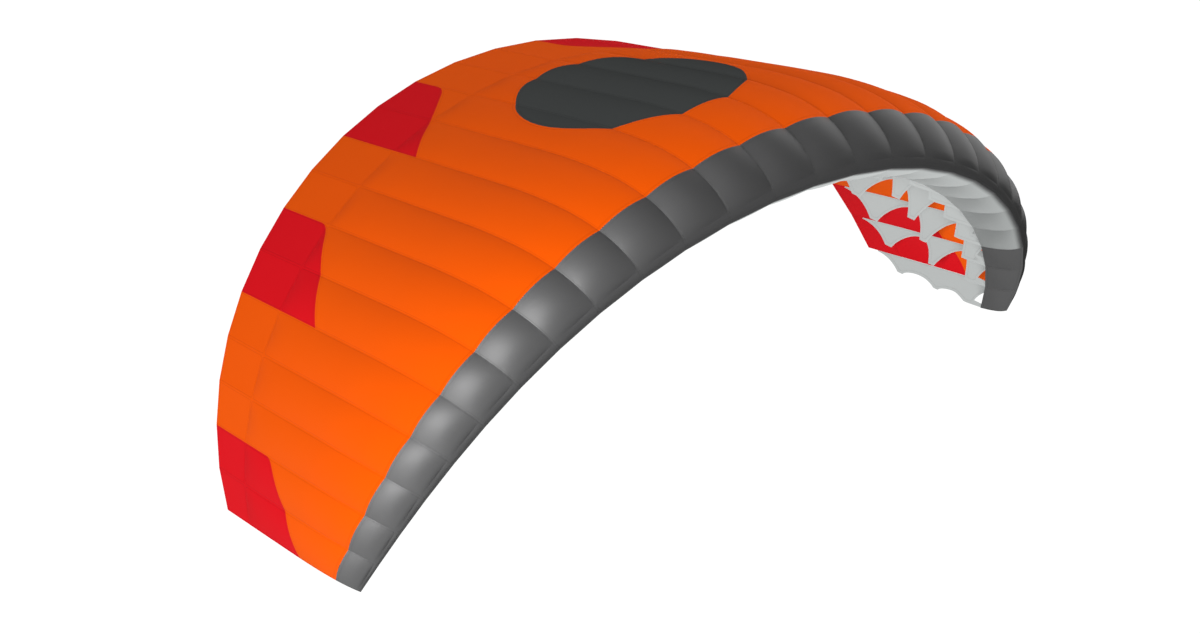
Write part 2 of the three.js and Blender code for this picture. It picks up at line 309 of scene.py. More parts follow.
def archPoint(u):
    steps = wing["archSteps"]
    middles = (np.arange(steps) + 0.5) / steps
    slope = np.radians(oddSeries(np.multiply.outer(u, middles), wing["archSlopeDeg"]))
    step = u * wing["flatSpan"] / 2 / steps
    return np.cos(slope).sum(-1) * step, -np.sin(slope).sum(-1) * step


def ribStations(rib):
    u = spanShare(rib)
    x, z = archPoint(u)
    noseY = evenSeries(u, wing["noseLine"])
    lean = np.radians(oddSeries(u, wing["ribLeanDeg"]))
    turn = np.radians(evenSeries(u, wing["twistDeg"]))[:, None]
    zero = np.zeros_like(u)
    aft = np.stack([zero, zero + 1, zero], -1)
    up = np.stack([np.sin(lean), zero, np.cos(lean)], -1)
    return {
        "nose": np.stack([x, noseY, z], -1),
        "chord": evenSeries(u, wing["tailLine"]) - noseY,
        "depth": evenSeries(u, wing["depth"]),
        "back": aft * np.cos(turn) + up * np.sin(turn),
        "out": up * np.cos(turn) - aft * np.sin(turn),
    }


def smoothThrough(knots, values, at):
    gap = np.diff(knots)
    slope = np.diff(values) / gap
    tangent = np.concatenate([slope[:1], slope[:-1], slope[-1:]])
    tangent[1:-1] = (slope[:-1] * gap[1:] + slope[1:] * gap[:-1]) / (gap[:-1] + gap[1:])
    k = np.clip(np.searchsorted(knots, at, side="right") - 1, 0, len(gap) - 1)
    s = (at - knots[k]) / gap[k]
    start = (1 + 2 * s) * (1 - s) ** 2 * values[k] + s * (1 - s) ** 2 * gap[k] * tangent[k]
    end = s * s * (3 - 2 * s) * values[k + 1] + s * s * (s - 1) * gap[k] * tangent[k + 1]
    return start + end


def profileColumn(column, breaks):  # smooth, but creased at the rows in breaks
    curve = np.zeros_like(alongTable)
    ends = [0, *breaks, hemRow]
    for first, last in zip(ends[:-1], ends[1:]):
        inside = (alongTable >= rowAlong[first]) & (alongTable <= rowAlong[last])
        values = profileRows[first:last + 1, column]
        curve[inside] = smoothThrough(rowAlong[first:last + 1], values, alongTable[inside])
    return curve


rowAlong = np.concatenate([[0], np.cumsum(np.hypot(*np.diff(profileRows[:, :2], axis=0).T))])
alongTable = np.unique(np.concatenate([np.linspace(0, rowAlong[-1], wing["tableSteps"]), rowAlong]))
chordTable = profileColumn(0, [creaseRow, lipRow])
heightTable = profileColumn(1, [creaseRow, lipRow])
billowTable = np.maximum(profileColumn(2, [tailBandRow, creaseRow, lipRow]), 0)
chordSlope = np.gradient(chordTable, alongTable)
heightSlope = np.gradient(heightTable, alongTable)
ribs = ribStations(np.arange(wing["cells"] + 1.0))


def onRib(rib, along):
    chord = ribs["chord"][rib]
    back = np.interp(along, alongTable, chordTable) * chord
    up = np.interp(along, alongTable, heightTable) * chord * ribs["depth"][rib]
    return ribs["nose"][rib] + ribs["back"][rib] * back[:, None] + ribs["out"][rib] * up[:, None]


def ribOutward(rib, along):
    back = np.interp(along, alongTable, heightSlope) * ribs["depth"][rib]
    up = -np.interp(along, alongTable, chordSlope)
    size = np.hypot(back, up)
    return ribs["back"][rib] * (back / size)[:, None] + ribs["out"][rib] * (up / size)[:, None]


def splitRib(rib):  # cell number and share of its width
    cell = np.clip(np.floor(rib + tiny).astype(int), 0, wing["cells"] - 1)
    return cell, rib - cell


def skinPoint(rib, along, sink=0.0):  # on the outer side of the cloth, with the width of the cell there
    cell, share = splitRib(rib)
    start, end = onRib(cell, along), onRib(cell + 1, along)
    across = end - start
    width = np.linalg.norm(across, axis=1, keepdims=True)
    swell = ribOutward(cell, along) + ribOutward(cell + 1, along)
    swell -= across * ((swell * across).sum(1, keepdims=True) / width ** 2)
    swell /= np.linalg.norm(swell, axis=1, keepdims=True)
    rise = 4 * share * (1 - share) * np.interp(along, alongTable, billowTable) * width[:, 0] - sink
    return start + across * share[:, None] + swell * rise[:, None] - hemMiddle, width[:, 0]


middleRibs = np.array([wing["cells"] // 2, wing["cells"] // 2 + 1])
hemMiddle = onRib(middleRibs, rowAlong[[hemRow, hemRow]]).mean(0)  # the wing's origin


def alongAtChord(chord):  # on the canopy, between the tail and the nose seam
    top = alongTable <= rowAlong[seamRow] + tiny
    return np.interp(-chord, -chordTable[top], alongTable[top])


print("wing form ready,", wing["cells"], "cells")


# Cloth finishes

weaveLook = {"square": 0.0065, "thread": 0.0009, "raise": 0.00005, "tint": 0.08}
stitchLook = {
    "pitch": 0.005,
    "width": 0.0009,
    "ribInset": 0.004,
    "edgeInset": 0.009,
    "sink": 0.0003,
    "dashFade": (0.34, 0.46),  # from a stitch's middle, in shares of the pitch
}
puckerLook = {"reach": 0.016, "pitch": 0.030, "raise": 0.0008}
hemLook = {"width": 0.012, "fadeFrom": 0.9, "raise": 0.00012, "tint": 0.05}
toneLook = {"scale": 5.0, "tint": 0.22, "roughSwing": 0.05}
finishes = {
    "orange": {
        "name": "orangeRipstop",
        "slot": "orange_cloth",
        "colour": (0.80, 0.092, 0.0005),
        "deep": (0.74, 0.077, 0.0005),
        "thread": (0.58, 0.050, 0.0005),
        "rough": 0.55,
        "shine": 0.06,
    },
    "red": {
        "name": "redRipstop",
        "slot": "red_cloth",
        "colour": (0.66, 0.0045, 0.0105),
        "deep": (0.59, 0.0036, 0.0085),
        "thread": (0.43, 0.0026, 0.006),
        "rough": 0.55,
        "shine": 0.06,
    },
    "noseGrey": {
        "name": "darkGreyCoatedRipstop",
        "slot": "dark_grey_cloth",
        "colour": (0.086, 0.086, 0.087),
        "deep": (0.077, 0.078, 0.078),
        "thread": (0.052, 0.053, 0.053),
        "rough": 0.46,
        "shine": 1.0,
        "coat": 0.4,
        "coatRough": 0.46,
    },
    "patchGrey": {
        "name": "darkGreyMattRipstop",
        "slot": "dark_grey_cloth",
        "colour": (0.070, 0.076, 0.075),
        "deep": (0.060, 0.065, 0.064),
        "thread": (0.042, 0.045, 0.045),
        "rough": 0.52,
        "shine": 0.35,
    },
    "lightGrey": {
        "name": "lightGreyRipstop",
        "slot": "light_grey_cloth",
        "colour": (0.535, 0.558, 0.552),
        "deep": (0.495, 0.517, 0.511),
        "thread": (0.43, 0.448, 0.444),
        "rough": 0.60,
        "shine": 0.15,
    },
}
# the underside's light grey, a little darker than the ribs', with painted shade towards the lip
finishes["underGrey"] = {
    **finishes["lightGrey"],
    "name": "lightGreyLipRipstop",
    "colour": (0.525, 0.548, 0.542),
    "lip": 0.026,  # metres from the lip over which painted shade darkens the underside into the nose's grey
}


def newGroup(name, inputs, outputs):
    group = bpy.data.node_groups.new(name, "ShaderNodeTree")
    for socket, kind in inputs:
        group.interface.new_socket(name=socket, in_out="INPUT", socket_type=kind)
    for socket in outputs:
        group.interface.new_socket(name=socket, in_out="OUTPUT", socket_type="NodeSocketFloat")
    return group, group.nodes.new("NodeGroupInput"), group.nodes.new("NodeGroupOutput")


def fade(tree, value, start, end):  # 1 at start and below, 0 at end and above
    node = tree.nodes.new("ShaderNodeMapRange")
    node.interpolation_type = "SMOOTHSTEP"
    node.inputs["To Min"].default_value = 1
    node.inputs["To Max"].default_value = 0
    link(tree, value, node.inputs["Value"])
    link(tree, start, node.inputs["From Min"])
    link(tree, end, node.inputs["From Max"])
    return node.outputs[0]


def ripstopGroup():  # squares of thicker threads in a plain weave
    floats = [(name, "NodeSocketFloat") for name in ("Square", "Thread")]
    group, given, result = newGroup("ripstopWeave", [("Cloth", "NodeSocketVector"), *floats], ["Line"])
    parts = group.nodes.new("ShaderNodeSeparateXYZ")
    group.links.new(given.outputs["Cloth"], parts.inputs[0])
    lines = []
    for axis in ("X", "Y"):
        cell = math1(group, "FRACT", math1(group, "DIVIDE", parts.outputs[axis], given.outputs["Square"]))
        offMiddle = math1(group, "ABSOLUTE", math1(group, "SUBTRACT", cell, 0.5))
        offLine = math1(group, "SUBTRACT", 0.5, offMiddle)
        distance = math1(group, "MULTIPLY", offLine, given.outputs["Square"])
        lines.append(fade(group, distance, 0.0, given.outputs["Thread"]))
    group.links.new(math1(group, "MAXIMUM", *lines), result.inputs["Line"])
    return group


def stitchGroup():  # one row of lockstitch beside a seam
    names = ("Distance", "Along", "Inset", "Width", "Pitch")
    group, given, result = newGroup("stitchRow", [(name, "NodeSocketFloat") for name in names], ["Mask"])
    aside = math1(group, "SUBTRACT", given.outputs["Distance"], given.outputs["Inset"])
    row = fade(group, math1(group, "ABSOLUTE", aside), 0.0, given.outputs["Width"])
    step = math1(group, "FRACT", math1(group, "DIVIDE", given.outputs["Along"], given.outputs["Pitch"]))
    offMiddle = math1(group, "ABSOLUTE", math1(group, "SUBTRACT", step, 0.5))
    dash = fade(group, offMiddle, *stitchLook["dashFade"])
    group.links.new(math1(group, "MULTIPLY", row, dash), result.inputs["Mask"])
    return group


def puckerGroup():  # soft gathers that die out away from a seam
    names = ("Distance", "Along", "Reach", "Pitch")
    group, given, result = newGroup("seamPucker", [(name, "NodeSocketFloat") for name in names], ["Height"])
    noise = group.nodes.new("ShaderNodeTexNoise")
    noise.noise_dimensions = "1D"
    noise.inputs["Scale"].default_value = 1
    noise.inputs["Detail"].default_value = 1
    step = math1(group, "DIVIDE", given.outputs["Along"], given.outputs["Pitch"])
    group.links.new(step, noise.inputs["W"])
    near = fade(group, given.outputs["Distance"], 0.0, given.outputs["Reach"])
    wave = math1(group, "SUBTRACT", noise.outputs[0], 0.5)
    group.links.new(math1(group, "MULTIPLY", wave, near), result.inputs["Height"])
    return group


def toneGroup():  # slow change of tone over the cloth
    group, given, result = newGroup(
        "clothTone", [("Point", "NodeSocketVector"), ("Scale", "NodeSocketFloat")], ["Tone"])
    noise = group.nodes.new("ShaderNodeTexNoise")
    noise.inputs["Detail"].default_value = 3
    group.links.new(given.outputs["Point"], noise.inputs["Vector"])
    group.links.new(given.outputs["Scale"], noise.inputs["Scale"])
    group.links.new(noise.outputs[0], result.inputs["Tone"])
    return group


groups = {"weave": ripstopGroup(), "stitch": stitchGroup(), "pucker": puckerGroup(), "tone": toneGroup()}


def useGroup(tree, kind, output, **values):
    node = tree.nodes.new("ShaderNodeGroup")
    node.node_tree = groups[kind]
    for name, value in values.items():
        link(tree, value, node.inputs[name])
    return node.outputs[output]


def readDistance(tree, name):
    node = tree.nodes.new("ShaderNodeAttribute")
    node.attribute_name = name
    return node.outputs["Fac"]


def tint(tree, colour, factor, over):
    node = tree.nodes.new("ShaderNodeMix")
    node.data_type = "RGBA"
    link(tree, factor, node.inputs["Factor"])
    if isinstance(colour, tuple):
        node.inputs["A"].default_value = (*colour, 1)
    else:
        tree.links.new(colour, node.inputs["A"])
    node.inputs["B"].default_value = (*over, 1)
    return node.outputs["Result"]


def clothMaterial(finish):
    material = bpy.data.materials.new(finish["name"])
    material.use_nodes = True
    tree = material.node_tree
    cloth = tree.nodes["Principled BSDF"]
    uv = tree.nodes.new("ShaderNodeUVMap")
    uv.uv_map = "clothMap"
    parts = tree.nodes.new("ShaderNodeSeparateXYZ")
    tree.links.new(uv.outputs[0], parts.inputs[0])
    place = tree.nodes.new("ShaderNodeTexCoord")
    across = parts.outputs["X"]
    run = math1(tree, "ADD", across, parts.outputs["Y"])  # grows along seams of either direction
    toRib, toEdge = readDistance(tree, "toRib"), readDistance(tree, "toEdge")

    weave = useGroup(tree, "weave", "Line", Cloth=uv.outputs[0],
                     Square=weaveLook["square"], Thread=weaveLook["thread"])
    tone = useGroup(tree, "tone", "Tone", Point=place.outputs["Object"], Scale=toneLook["scale"])
    row = {"Width": stitchLook["width"], "Pitch": stitchLook["pitch"]}
    ribStitch = useGroup(tree, "stitch", "Mask", Distance=toRib, Along=run,
                         Inset=stitchLook["ribInset"], **row)
    edgeStitch = useGroup(tree, "stitch", "Mask", Distance=toEdge, Along=across,
                          Inset=stitchLook["edgeInset"], **row)
    stitch = math1(tree, "MAXIMUM", ribStitch, edgeStitch)
    gather = {"Reach": puckerLook["reach"], "Pitch": puckerLook["pitch"]}
    ribPucker = useGroup(tree, "pucker", "Height", Distance=toRib, Along=run, **gather)
    edgePucker = useGroup(tree, "pucker", "Height", Distance=toEdge, Along=across, **gather)
    hem = fade(tree, toEdge, hemLook["width"] * hemLook["fadeFrom"], hemLook["width"])

    colour = tint(tree, finish["colour"], math1(tree, "MULTIPLY", tone, toneLook["tint"]), finish["deep"])
    colour = tint(tree, colour, math1(tree, "MULTIPLY", weave, weaveLook["tint"]), finish["thread"])
    colour = tint(tree, colour, math1(tree, "MULTIPLY", hem, hemLook["tint"]), finish["deep"])
    colour = tint(tree, colour, stitch, finish["thread"])
    # painted shade: near the lip the light underside darkens into the nose's dark grey
    if "lip" in finish:
        nearLipPaintedShade = fade(tree, parts.outputs["Y"], 0.0, finish["lip"])
        colour = tint(tree, colour, nearLipPaintedShade, finishes["noseGrey"]["colour"])
    tree.links.new(colour, cloth.inputs["Base Color"])

    rough = tree.nodes.new("ShaderNodeMapRange")
    rough.inputs["To Min"].default_value = finish["rough"] - toneLook["roughSwing"]
    rough.inputs["To Max"].default_value = finish["rough"] + toneLook["roughSwing"]
    tree.links.new(tone, rough.inputs["Value"])
    tree.links.new(rough.outputs[0], cloth.inputs["Roughness"])

    lift = math1(tree, "MULTIPLY", weave, weaveLook["raise"])
    lift = math1(tree, "MULTIPLY_ADD", math1(tree, "ADD", ribPucker, edgePucker), puckerLook["raise"], lift)
    lift = math1(tree, "MULTIPLY_ADD", hem, hemLook["raise"], lift)
    lift = math1(tree, "MULTIPLY_ADD", stitch, -stitchLook["sink"], lift)
    bump = tree.nodes.new("ShaderNodeBump")
    bump.inputs["Distance"].default_value = 1
    tree.links.new(lift, bump.inputs["Height"])
    tree.links.new(bump.outputs[0], cloth.inputs["Normal"])
    cloth.inputs["Specular IOR Level"].default_value = finish["shine"]
    if "coat" in finish:
        cloth.inputs["Coat Weight"].default_value = finish["coat"]
        cloth.inputs["Coat Roughness"].default_value = finish["coatRough"]
    return material


materials = {finishName: clothMaterial(finish) for finishName, finish in finishes.items()}
print("cloth finishes:", ", ".join(finish["name"] for finish in finishes.values()))


# Making a sheet

clothThickness = 0.0012
mergeDistance = 0.00002
rimAngle = math.radians(60)


def only(piece):
    bpy.ops.object.select_all(action="DESELECT")
    piece.select_set(True)
    bpy.context.view_layer.objects.active = piece


def addGrid(name, columns, rows):  # a flat grid, with the column and row of each of its points
    bpy.ops.object.select_all(action="DESELECT")
    bpy.ops.mesh.primitive_grid_add(x_subdivisions=columns, y_subdivisions=rows, size=2)
    sheet = bpy.context.object
    sheet.name = name
    sheet.data.name = name
    flat = np.empty(len(sheet.data.vertices) * 3)
    sheet.data.vertices.foreach_get("co", flat)
    flat = flat.reshape(-1, 3)
    column = np.rint((flat[:, 0] + 1) / 2 * columns).astype(int)
    row = np.rint((flat[:, 1] + 1) / 2 * rows).astype(int)
    return sheet, column, row


def shapeGrid(sheet, points, flatPoints, toRib, toEdge):
    mesh = sheet.data
    mesh.vertices.foreach_set("co", points.ravel())
    corner = np.empty(len(mesh.loops), int)
    mesh.loops.foreach_get("vertex_index", corner)
    layer = mesh.uv_layers.active
    layer.name = "clothMap"
    layer.data.foreach_set("uv", flatPoints[corner].ravel())
    for name, values in (("toRib", toRib), ("toEdge", toEdge)):
        mesh.attributes.new(name, "FLOAT", "POINT").data.foreach_set("value", values)
    mesh.update()


def faceMeans(sheet, values):
    corners = np.empty(len(sheet.data.polygons) * 4, int)
    sheet.data.polygons.foreach_get("vertices", corners)
    return values[corners.reshape(-1, 4)].mean(1)


def selectOnly(sheet, kind, chosen):  # kind is "faces" or "edges"
    mesh = sheet.data
    only(sheet)
    for items in (mesh.vertices, mesh.edges, mesh.polygons):
        items.foreach_set("select", np.zeros(len(items), bool))
    items = mesh.polygons if kind == "faces" else mesh.edges
    items.foreach_set("select", chosen)
    bpy.ops.object.mode_set(mode="EDIT")
    bpy.ops.mesh.select_mode(type="FACE" if kind == "faces" else "EDGE")


def creaseEdges(sheet, test):  # marks the edges whose two ends pass the test
    ends = np.empty(len(sheet.data.edges) * 2, int)
    sheet.data.edges.foreach_get("vertices", ends)
    ends = ends.reshape(-1, 2)
    selectOnly(sheet, "edges", test(ends[:, 0], ends[:, 1]))
    bpy.ops.mesh.mark_sharp()
    bpy.ops.object.mode_set(mode="OBJECT")


def mergeDoubles(sheet):
    only(sheet)
    bpy.ops.object.mode_set(mode="EDIT")
    bpy.ops.mesh.select_all(action="SELECT")
    bpy.ops.mesh.remove_doubles(threshold=mergeDistance)
    bpy.ops.object.mode_set(mode="OBJECT")


def cutSize(sheet):  # flat width, length and area of the cloth
    mesh = sheet.data
    flat = np.empty(len(mesh.loops) * 2)
    mesh.uv_layers["clothMap"].data.foreach_get("uv", flat)
    width, length = np.ptp(flat.reshape(-1, 2), axis=0)
    areas = np.empty(len(mesh.polygons))
    mesh.polygons.foreach_get("area", areas)
    return (float(width), float(length)), float(min(areas.sum(), width * length))


# side: -1 puts the thickness inside, 1 outside
def finishSheet(sheet, node, finishName, family, side=-1.0):
    flatSize, flatArea = cutSize(sheet)
    only(sheet)
    thick = sheet.modifiers.new("thickness", "SOLIDIFY")
    thick.thickness = clothThickness
    thick.offset = side
    bpy.ops.object.modifier_apply(modifier=thick.name)
    bpy.ops.object.shade_smooth_by_angle(angle=rimAngle, keep_sharp_edges=True)
    sheet.data.materials.clear()
    sheet.data.materials.append(materials[finishName])
    sheet.visible_diffuse = False  # throws no coloured light on its neighbours
    lightWith(sheet, family)
    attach(sheet, "root")
    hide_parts(node)


# Canopy: one sheet over all cells, then cut into the orange cloth, the red panels and the middle patch

canopyCut = {
    "stepsPerCell": 16,
    "frontRows": 22,
    "patchRows": 22,
    "middleRows": 22,
    "bandRows": 6,
    "tailRows": 8,
    "clearOfRed": 0.08,  # chord share between the red panels and the patch's line
}
redPanels = {
    "tip": {"ribs": (0, 1, 2), "fronts": (0.357, 0.499, 0.64)},
    "mid": {"ribs": (5, 6, 7), "fronts": (0.63, 0.717, 0.812)},
    "inner": {"ribs": (9, 10, 11), "fronts": (0.722, 0.806, 0.9)},
}
redCorner = {"cells": 0.2, "chord": 0.022}  # rounding of the inner front corner
middlePatch = {
    "chord": 0.498,
    "halfChord": 0.2355,
    "halfCells": 2.0,
    "core": 0.05,  # share of the outline within which the distance to it no longer grows
}
farFromRed = 1.0  # metres, past the reach of any hem or stitch
middleRib = wing["cells"] / 2


def columnRibs(firstCell, lastCell):  # rib number of each column, closer together beside seams
    steps = canopyCut["stepsPerCell"]
    patchEnds = [int(middleRib + side * middlePatch["halfCells"]) for side in (-1, 1)]
    stations = []
    for cell in range(firstCell, lastCell):
        halves = 2 if cell in patchEnds else 1
        for half in range(halves):
            k = np.arange(steps // halves) / (steps // halves)
            stations.append(cell + (half + (1 - np.cos(np.pi * k)) / 2) / halves)
    return np.concatenate([*stations, [lastCell]])


def redFront(rib):  # front edge of the red panels, joined by straight lines between them
    fromTip = np.minimum(rib, wing["cells"] - rib)
    knotRibs, knotChords = [], []
    for panel in redPanels.values():
        knotRibs += [panel["ribs"][0], panel["ribs"][2]]
        knotChords += [panel["fronts"][0], panel["fronts"][2] + redCorner["chord"]]
    chord = np.interp(fromTip, knotRibs, knotChords)
    for panel in redPanels.values():
        inner = panel["ribs"][2]
        within = (fromTip >= panel["ribs"][0]) & (fromTip <= inner)
        front = np.interp(fromTip, panel["ribs"], panel["fronts"])
        cornerRib = inner - redCorner["cells"]
        cornerStart = np.interp(cornerRib, panel["ribs"], panel["fronts"])
        corner = panel["fronts"][2]
        s = 1 - np.sqrt(np.clip((inner - fromTip) / redCorner["cells"], 0, 1))
        startPull, cornerPull = (1 - s) ** 2 * cornerStart, 2 * s * (1 - s) * corner
        rounded = startPull + cornerPull + s * s * (corner + redCorner["chord"])
        chord = np.where(within, np.where(fromTip > cornerRib, rounded, front), chord)
    return chord


def canopyChord(rib, row):
    front = redFront(rib)
    band = profileRows[tailBandRow, 0]
    lower, upper = np.minimum(front, band), np.maximum(front, band)
    patchMiddle = np.minimum(middlePatch["chord"], lower - canopyCut["clearOfRed"])
    offMiddle = (rib - middleRib) / middlePatch["halfCells"]
    half = middlePatch["halfChord"] * np.sqrt(np.clip(1 - offMiddle ** 2, 0, 1))
    seam, tail = np.full_like(rib, profileRows[seamRow, 0]), np.ones_like(rib)
    lines = np.stack([seam, patchMiddle - half, patchMiddle + half, lower, upper, tail])
    rowNames = ("frontRows", "patchRows", "middleRows", "bandRows", "tailRows")
    counts = np.array([canopyCut[name] for name in rowNames])
    firstRows = np.concatenate([[0], np.cumsum(counts)])
    part = np.clip(np.searchsorted(firstRows, row, side="right") - 1, 0, len(counts) - 1)
    share = (1 - np.cos(np.pi * (row - firstRows[part]) / counts[part])) / 2  # closer together beside seams
    point = np.arange(len(rib))
    return lines[part, point] * (1 - share) + lines[part + 1, point] * share


def flatPlace(rib, along, start):  # place on the cloth laid flat, in metres back from the row at start
    cell, share = splitRib(rib)
    chord = ribs["chord"][cell] * (1 - share) + ribs["chord"][cell + 1] * share
    return np.stack([spanShare(rib) * wing["flatSpan"] / 2, (along - start) * chord], -1), chord


def patchDistance(rib, chord, chordLength, width):  # to the patch's outline, near enough beside it
    across = (rib - middleRib) * width
    back = (chord - middlePatch["chord"]) * chordLength
    halfAcross, halfBack = middlePatch["halfCells"] * width, middlePatch["halfChord"] * chordLength
    ring = np.maximum(np.hypot(across / halfAcross, back / halfBack), middlePatch["core"])
    steep = np.hypot(across / halfAcross ** 2, back / halfBack ** 2) / ring
    return np.abs(ring - 1) / np.maximum(steep, 1)


def toRibSeam(rib, width):
    share = splitRib(rib)[1]
    return np.minimum(share, 1 - share) * width


def redPanelAt(rib, chord):  # the red panel's number, right ones after left ones, or 0
    fromTip = np.minimum(rib, wing["cells"] - rib)
    number = np.zeros(len(rib), int)
    for k, panel in enumerate(redPanels.values()):
        inside = (fromTip > panel["ribs"][0]) & (fromTip < panel["ribs"][2]) & (chord > redFront(rib))
        number[inside] = k + 1
    return np.where((number > 0) & (rib > middleRib), number + len(redPanels), number)


def separateFaces(sheet, number):
    owner = np.empty(len(sheet.data.polygons), int)
    sheet.data.attributes["cutPiece"].data.foreach_get("value", owner)
    selectOnly(sheet, "faces", owner == number)
    before = set(bpy.data.objects)
    bpy.ops.mesh.separate(type="SELECTED")
    bpy.ops.object.mode_set(mode="OBJECT")
    return (set(bpy.data.objects) - before).pop()


def makeCanopy():
    ribOfColumn = columnRibs(0, wing["cells"])
    rows = sum(canopyCut[name] for name in canopyCut if name.endswith("Rows"))
    sheet, column, row = addGrid("canopyCloth", len(ribOfColumn) - 1, rows)
    rib = ribOfColumn[column]
    chord = canopyChord(rib, row)
    along = alongAtChord(chord)
    points, width = skinPoint(rib, along)
    flat, chordLength = flatPlace(rib, along, 0)
    toTail, toSeam = along * chordLength, (rowAlong[seamRow] - along) * chordLength
    fromTip = np.minimum(rib, wing["cells"] - rib)
    toRed = np.full_like(rib, farFromRed)
    for panel in redPanels.values():
        inside = (fromTip >= panel["ribs"][0]) & (fromTip <= panel["ribs"][2])
        toRed[inside] = (np.abs(chord - redFront(rib)) * chordLength)[inside]
    toPatch = patchDistance(rib, chord, chordLength, width)
    toEdge = np.minimum.reduce([toTail, toSeam, toRed, toPatch])
    toBand = np.abs(along - rowAlong[tailBandRow]) * chordLength
    shapeGrid(sheet, points, flat, np.minimum(toRibSeam(rib, width), toBand), toEdge)

    onSeam = (column % canopyCut["stepsPerCell"]) == 0
    onBand = np.abs(chord - profileRows[tailBandRow, 0]) < tiny
    creaseEdges(sheet, lambda a, b: onSeam[a] & (column[a] == column[b]) | onBand[a] & onBand[b])

    faceRib, faceChord = faceMeans(sheet, rib), faceMeans(sheet, chord)
    owner = redPanelAt(faceRib, faceChord)
    ring = np.hypot((faceRib - middleRib) / middlePatch["halfCells"],
                    (faceChord - middlePatch["chord"]) / middlePatch["halfChord"])
    patchNumber = 2 * len(redPanels) + 1
    owner[ring < 1] = patchNumber
    sheet.data.attributes.new("cutPiece", "INT", "FACE").data.foreach_set("value", owner)
    mergeDoubles(sheet)

    for k, name in enumerate(redPanels):
        for side, number in (("left", k + 1), ("right", k + 1 + len(redPanels))):
            panel = separateFaces(sheet, number)
            panel.name = f"redCloth_{name}_{side}"
            finishSheet(panel, f"red_panel_{name}_{side}", "red", "canopy")
    patch = separateFaces(sheet, patchNumber)
    patch.name = "middlePatchCloth"
    finishSheet(patch, "middle_patch", "patchGrey", "patch")
    finishSheet(sheet, "canopy_skin", "orange", "canopy")


makeCanopy()
print("canopy cut into orange cloth,", 2 * len(redPanels), "red panels and the middle patch")


# Nose: a dark sheet over the top, creased above the lip, and three sheets under it

noseCut = {"topRows": 30, "lipRows": 8, "underRows": 18, "darkTipCells": 3, "closeUp": 1.6}
# A soft fold above the lip, deeper towards each cell's right rib
lipTrough = {"depth": 0.0011, "width": 0.003}


def troughDepth(rib, toCrease):
    share = splitRib(rib)[1]
    return lipTrough["depth"] * np.sin(np.pi * share ** 2) * np.exp(-(toCrease / lipTrough["width"]) ** 2)


def makeNoseSheet(name, node, finishName, family, firstCell, lastCell, alongRows):
    ribOfColumn = columnRibs(firstCell, lastCell)
    sheet, column, row = addGrid(name, len(ribOfColumn) - 1, len(alongRows) - 1)
    rib, along = ribOfColumn[column], alongRows[row]
    flat, chordLength = flatPlace(rib, along, rowAlong[lipRow])
    toEdge = np.minimum(along - alongRows.min(), alongRows.max() - along) * chordLength
    toCrease = np.abs(along - rowAlong[creaseRow]) * chordLength
    points, width = skinPoint(rib, along, troughDepth(rib, toCrease))
    shapeGrid(sheet, points, flat, toRibSeam(rib, width), toEdge)
    onSeam = (column % canopyCut["stepsPerCell"]) == 0
    onCrease = np.abs(along - rowAlong[creaseRow]) < tiny
    creaseEdges(sheet, lambda a, b: onSeam[a] & (column[a] == column[b]) | onCrease[a] & onCrease[b])
    finishSheet(sheet, node, finishName, family)


def makeNose():
    seam, crease, lip, hem = rowAlong[[seamRow, creaseRow, lipRow, hemRow]]
    # rows close up at the crease
    band = np.linspace(0, 1, noseCut["lipRows"] + 1)[::-1] ** noseCut["closeUp"]
    top = np.linspace(0, 1, noseCut["topRows"] + 1)[1:] ** noseCut["closeUp"]
    topRows = np.concatenate([crease + (lip - crease) * band, crease + (seam - crease) * top])
    underRows = np.linspace(hem, lip, noseCut["underRows"] + 1)
    dark, cells = noseCut["darkTipCells"], wing["cells"]
    lightEnd = cells - dark
    makeNoseSheet("noseTopCloth", "nose_top", "noseGrey", "nose", 0, cells, topRows)
    makeNoseSheet("noseUnderCloth_left", "nose_under_left", "noseGrey", "tipUnder", 0, dark, underRows)
    makeNoseSheet("noseUnderCloth", "nose_under", "underGrey", "under", dark, lightEnd, underRows)
    makeNoseSheet("noseUnderCloth_right", "nose_under_right", "noseGrey", "tipUnder",
                  lightEnd, cells, underRows)


makeNose()
print("nose sewn from a top and three under sheets")


# Ribs: flat sheets with line tabs, arches and a vent, all in shares of the chord

ribFeet = [
    {"back": 0.739, "front": 0.701, "height": -0.065},
    {"back": 0.48, "front": 0.448, "height": -0.058},
    {"back": 0.268, "front": 0.245, "height": -0.05},
]
ribArches = [  # each in front of the foot with its number
    {"chord": 0.6, "innerCrown": 0.0455, "tipCrown": -0.0235, "ease": 0.5},
    {"chord": 0.357, "innerCrown": 0.0736, "tipCrown": -0.0205, "ease": 0.28},
]
ribCut = {
    "backRound": 0.5,
    "tailChord": 0.935,
    "tailDepth": 0.004,
    "ventChord": 0.165,
    "ventHalf": 0.05,
    "ventSill": -0.015,
    "ventHeight": 0.09,
    "inset": 0.0014,  # metres inside the skin's outer side
    "curveSteps": 40,
    "sillRows": 3,
    "ventRows": 6,
    "topRows": 8,
    "noseSteps": 16,
    "ventSteps": 22,
    "footSteps": 3,  # also between the vent and the first foot
    "archSteps": 12,
    "outlineStep": 0.004,  # metres between the points that distances are taken to
    "skinStride": 4,  # every fourth point will do on the sewn edge
}


def curveThrough(*handles):  # a Bezier curve of any degree
    t = np.linspace(0, 1, ribCut["curveSteps"] + 1)[:, None]
    level = [np.array(handle, float) for handle in handles]
    while len(level) > 1:
        level = [a * (1 - t) + b * t for a, b in zip(level[:-1], level[1:])]
    return level[0]


